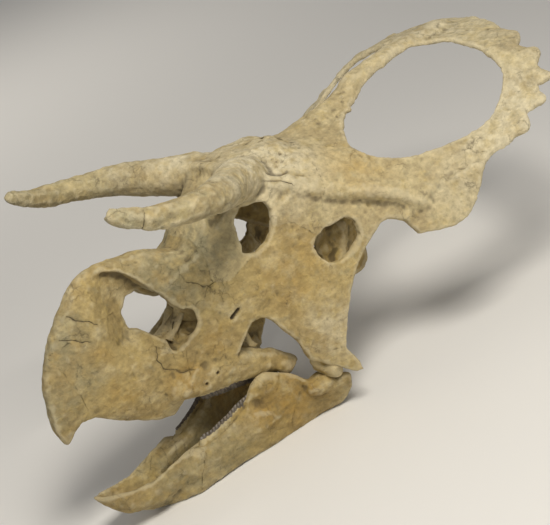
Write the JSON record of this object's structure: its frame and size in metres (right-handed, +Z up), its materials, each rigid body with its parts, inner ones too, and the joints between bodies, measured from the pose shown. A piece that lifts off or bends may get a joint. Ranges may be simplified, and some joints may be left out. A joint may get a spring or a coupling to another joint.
{
  "type": "horned dinosaur skull",
  "caption": "Short-snouted horned dinosaur skull with forward-curving brow horns, scalloped and windowed frill, deep beak and open lower jaw.",
  "frame": {"origin": "on the floor, below the middle of the skull's length and on its midline", "axes": "-X ahead along the snout, +X back to the frill, -Y the animal's left, +Z up"},
  "size_m": [1.5744, 0.855, 0.8109],
  "materials": {
    "face_bone": "dry ochre bone, matte, pitted and finely cracked",
    "horn_bone": "paler cream bone with lengthwise grain and ring cracks on the horns",
    "frill_bone": "pale bone with vessel grooves and worn edges",
    "inner_bone": "darker brown bone in the shade of the skull",
    "jaw_bone": "ochre bone with orange stains",
    "tooth_enamel": "grey worn enamel, slightly glossy"
  },
  "bodies": {
    "root": {"braincase": "inner_bone", "brow_left": "horn_bone", "brow_right": "horn_bone", "dentary_left": "jaw_bone", "dentary_right": "jaw_bone", "epijugal_left": "face_bone", "epijugal_right": "face_bone", "hind_jaw_left": "jaw_bone", "hind_jaw_right": "jaw_bone", "jugal_left": "face_bone", "jugal_right": "face_bone", "maxilla_left": "face_bone", "maxilla_right": "face_bone", "nasal": "face_bone", "parietal": "frill_bone", "predentary": "jaw_bone", "premaxilla": "face_bone", "pterygoid_left": "inner_bone", "pterygoid_right": "inner_bone", "quadrate_left": "inner_bone", "quadrate_right": "inner_bone", "rostral": "face_bone", "squamosal_left": "frill_bone", "squamosal_right": "frill_bone"}
  },
  "joints": []
}
